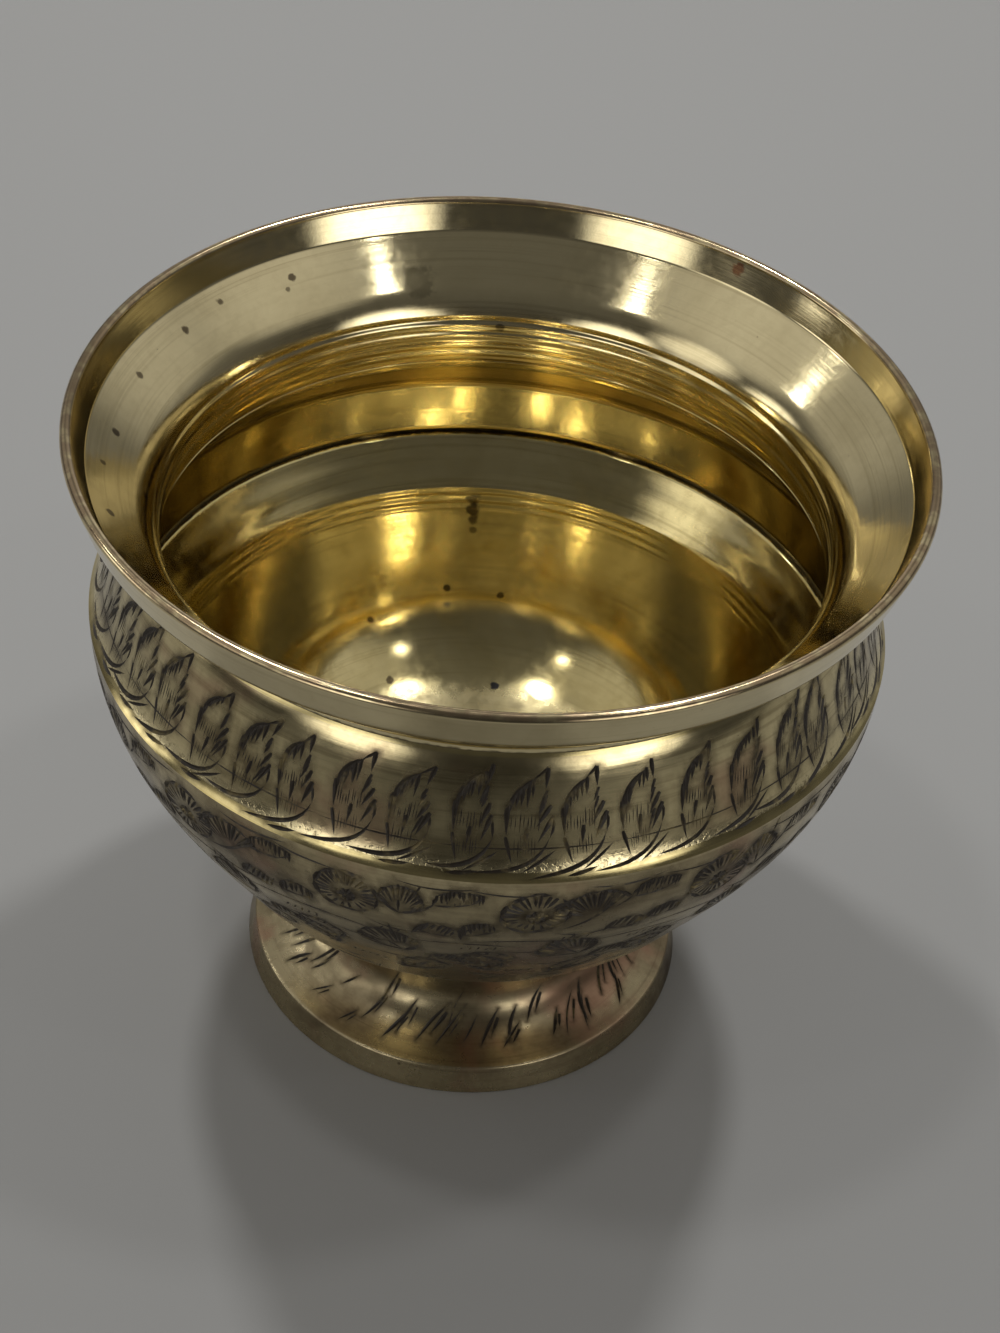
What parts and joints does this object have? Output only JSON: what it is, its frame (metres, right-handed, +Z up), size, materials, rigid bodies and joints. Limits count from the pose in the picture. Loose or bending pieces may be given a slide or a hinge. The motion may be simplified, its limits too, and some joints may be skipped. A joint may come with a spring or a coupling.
{
  "type": "pedestal bowl",
  "caption": "Open brass bowl with a flared rim, narrowed throat, ridged belly and hollow trumpet foot, engraved with leaves and flowers.",
  "frame": {"origin": "centre of the foot's flat underside, which rests on the table", "axes": "+Z up along the bowl's turning axis; the bowl is round, so +X and +Y are any two directions square to it"},
  "size_m": [0.14, 0.14, 0.1194],
  "materials": {
    "polished_brass": "turned and polished brass, lightly tarnished",
    "engraved_brass": "hand-engraved brass with dark patina in the cuts",
    "foot_brass": "turned brass, tarnished darker than the bowl",
    "braze": "dull brazing metal inside the joints"
  },
  "bodies": {
    "root": {"rim_collar": "polished_brass", "shoulder_ring": "engraved_brass", "lower_bowl": "engraved_brass", "foot": "foot_brass", "neck_braze": "braze", "belly_braze": "braze", "foot_braze": "braze"}
  },
  "joints": []
}
